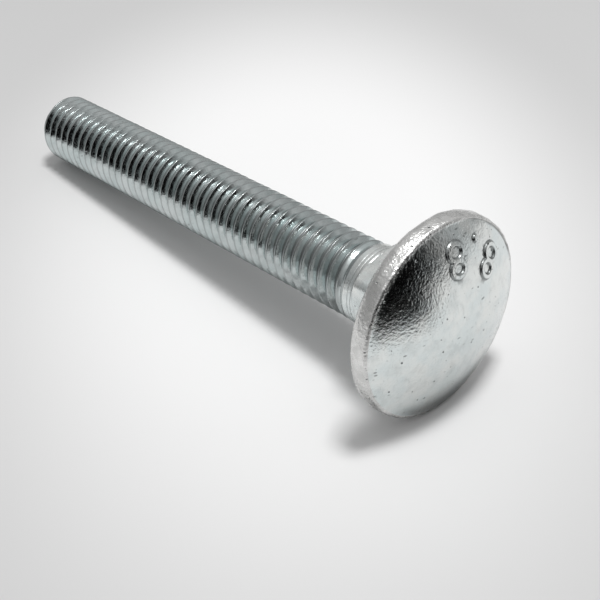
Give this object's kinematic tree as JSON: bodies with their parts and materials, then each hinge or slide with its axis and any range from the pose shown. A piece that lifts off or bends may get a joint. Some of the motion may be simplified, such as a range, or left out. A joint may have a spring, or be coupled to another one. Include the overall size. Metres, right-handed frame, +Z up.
{
  "type": "carriage bolt",
  "caption": "Zinc plated carriage bolt with a low domed head, a square neck and a shank threaded up to the neck, lying on its side.",
  "frame": {"origin": "on the surface that the bolt lies on, under the middle of its bounding box", "axes": "+Z up; the bolt's axis lies in the XZ plane, head towards +X and tip towards -X, and slopes 5.68 degrees down to the tip, because the bolt rests on the rim of its head and the end of its thread"},
  "size_m": [0.0646, 0.02, 0.0199],
  "materials": {
    "zinc_plated_steel": "bright blue-passivated zinc plating"
  },
  "bodies": {
    "root": {"carriage_bolt": "zinc_plated_steel"}
  },
  "joints": []
}
